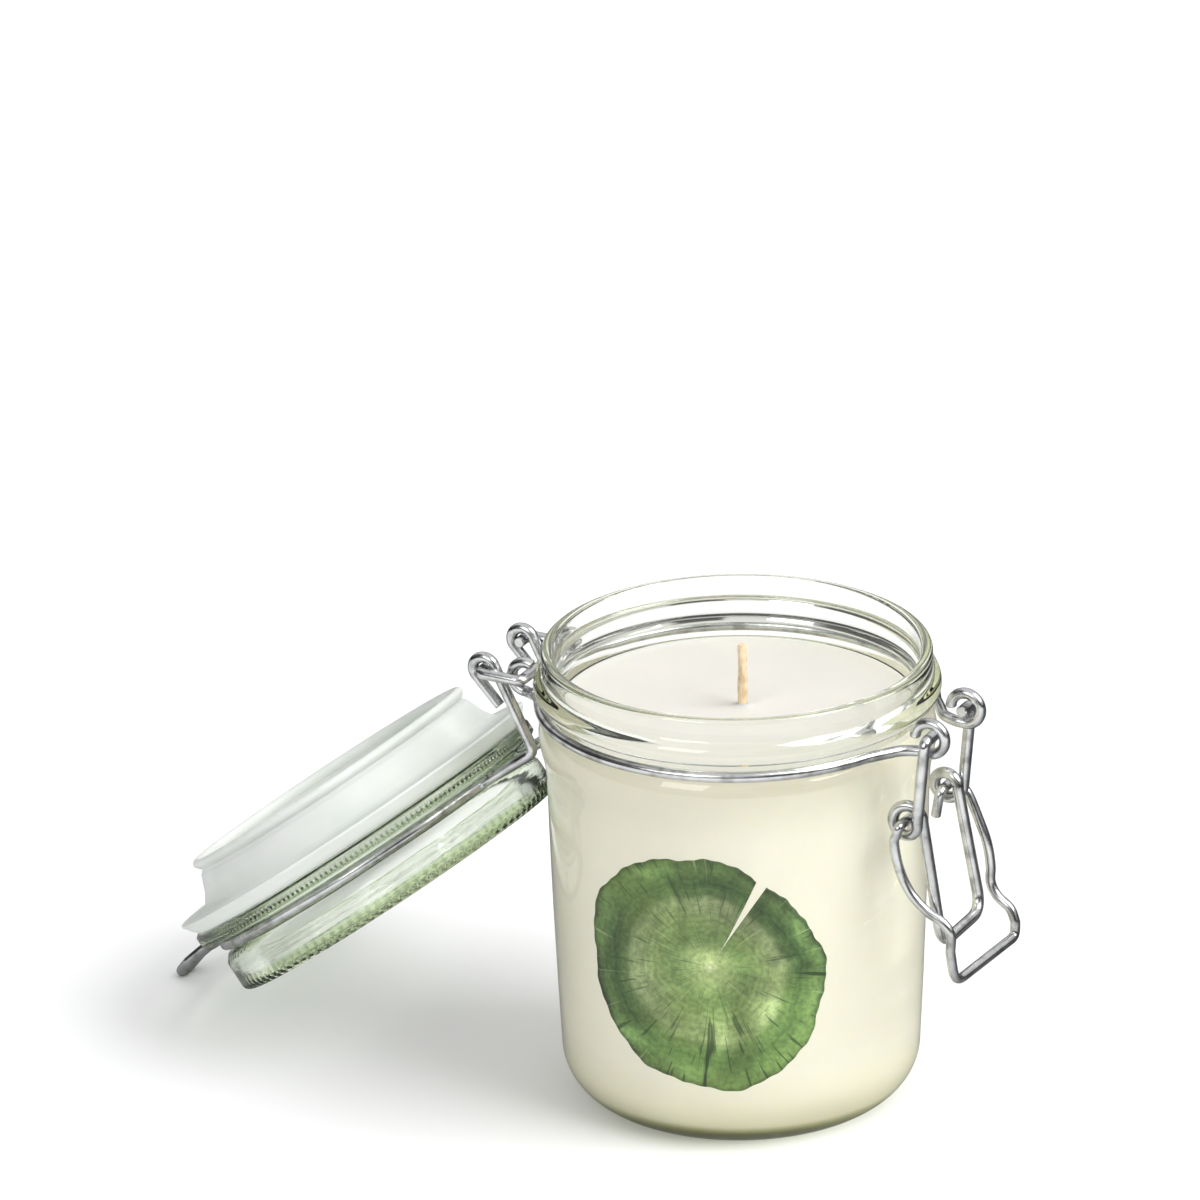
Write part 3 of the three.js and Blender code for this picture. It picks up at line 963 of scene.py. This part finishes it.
def clamp_stirrup():
    """Bent by hand, so its two arms differ: the near one steps out higher than the far one."""
    near = [(46.8, 15.5, 75.2), (47.9, 15.2, 69), (50.6, 15, 63.4), (54.6, 14.8, 59.5)]
    near += [(58.4, 14.6, 57.3), (60.3, 14.3, 54.5), (60.1, 14, 50), (60.9, 13.4, 42.2)]
    far = [(51.3, 15.5, 76), (53.9, 15.3, 70.5), (56.1, 15.1, 65), (57.1, 14.9, 59.6)]
    far += [(57.2, 14.7, 55.6), (58.9, 14.5, 52.5), (62.3, 14.2, 50), (63.8, 13.9, 47)]
    far += [(63.9, 13.4, 43.6)]
    near = [(x, -y, z) for x, y, z in near]
    near_pin = stirrup_pin(-1, near[0])
    far_pin = stirrup_pin(1, far[0])[::-1]
    foot = bends([near[-2], near[-1], far[-1], far[-2]], 4.5)
    near_arm = spline([near_pin[-1], *near[:-2], foot[0]], 6)
    far_arm = spline([foot[-1], *reversed(far[:-2]), far_pin[0]], 6)
    path = [*near_pin[:-1], *near_arm, *foot[1:-1], *far_arm, *far_pin[1:]]
    return wire_piece("clamp_stirrup_bent", path, STIRRUP_WIRE, "clamp_stirrup")


# ---- light and floor, in metres -----------------------------------------------------------------
FLOOR_REACH = 6.0
JAR_MIDDLE = Vector((0, 0, 0.05))
BACKDROP = (0.95, 0.95, 0.95, 1)


def add_floor():
    mesh = bpy.data.meshes.new("floor")
    corners = [(-1, -1, 0), (1, -1, 0), (1, 1, 0), (-1, 1, 0)]
    mesh.from_pydata([tuple(FLOOR_REACH * c for c in v) for v in corners], [], [(0, 1, 2, 3)])
    floor = bpy.data.objects.new("floor", mesh)
    bpy.context.scene.collection.objects.link(floor)
    mesh.materials.append(pale_floor())


def add_lamp(name, where, size, power):
    """A square soft box that faces the jar."""
    data = bpy.data.lights.new(name, "AREA")
    data.size = size
    data.energy = power
    lamp = bpy.data.objects.new(name, data)
    bpy.context.scene.collection.objects.link(lamp)
    lamp.location = where
    lamp.rotation_euler = (JAR_MIDDLE - Vector(where)).to_track_quat("-Z", "Y").to_euler()


def add_world():
    """A bright ceiling over a darker horizon, with one wide dark card and one narrow one. They give
    the wire and the glass their dark lines, and leave the jar's far side from the key lamp in soft
    shade. A low view sees a pale backdrop past the paper's edge."""
    world = bpy.data.worlds.new("studio")
    bpy.context.scene.world = world
    world.use_nodes = True
    tree = Tree(world.node_tree)
    direction = tree.node("ShaderNodeTexCoord").outputs["Generated"]

    def card(towards, *stops):
        return tree.ramp(tree.dot(direction, Vector(towards).normalized()), *stops)

    height = tree.part(direction, "Z")
    sky = tree.ramp(height, (0.0, 0.04), (0.17, 0.05), (0.25, 0.6), (0.5, 0.8), (1.0, 0.86))
    wide = card((-0.9, -0.45, 0.35), (0.72, 1.0), (0.86, 0.12))
    narrow = card((0.72, -0.62, 0.42), (0.955, 1.0), (0.97, 0.1))
    room = tree.mix(1.0, tree.mix(1.0, sky, wide, "MULTIPLY"), narrow, "MULTIPLY")
    seen = tree.node("ShaderNodeLightPath").outputs["Is Camera Ray"]
    tree.link(tree.mix(seen, room, BACKDROP), tree.nodes["Background"].inputs["Color"])


# ---- assembly -----------------------------------------------------------------------------------
def build():
    for piece in (jar_glass(), candle_wax(), wick(), print_patch(), hinge_link()):
        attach(piece, "jar")
    for side, node in ((-1, "neck_band_near"), (1, "neck_band_far")):
        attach(neck_band(side, node), "jar")
    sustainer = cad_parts["wick_sustainer"]
    sustainer.data.materials.clear()
    sustainer.data.materials.append(tinned_steel())
    lid = [lid_glass(), lid_seal(), lid_wire()]
    open_lid(lid)
    for piece in lid:
        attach(piece, "lid")
    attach(clamp_lever(), "lever")
    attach(clamp_stirrup(), "stirrup")


build()
add_floor()
add_lamp("key", where=(1.9, 0.1, 2.2), size=1.8, power=70)
add_lamp("front", where=(-0.4, -3.2, 2.0), size=1.6, power=31)
add_world()
bpy.context.scene.view_settings.view_transform = "Standard"
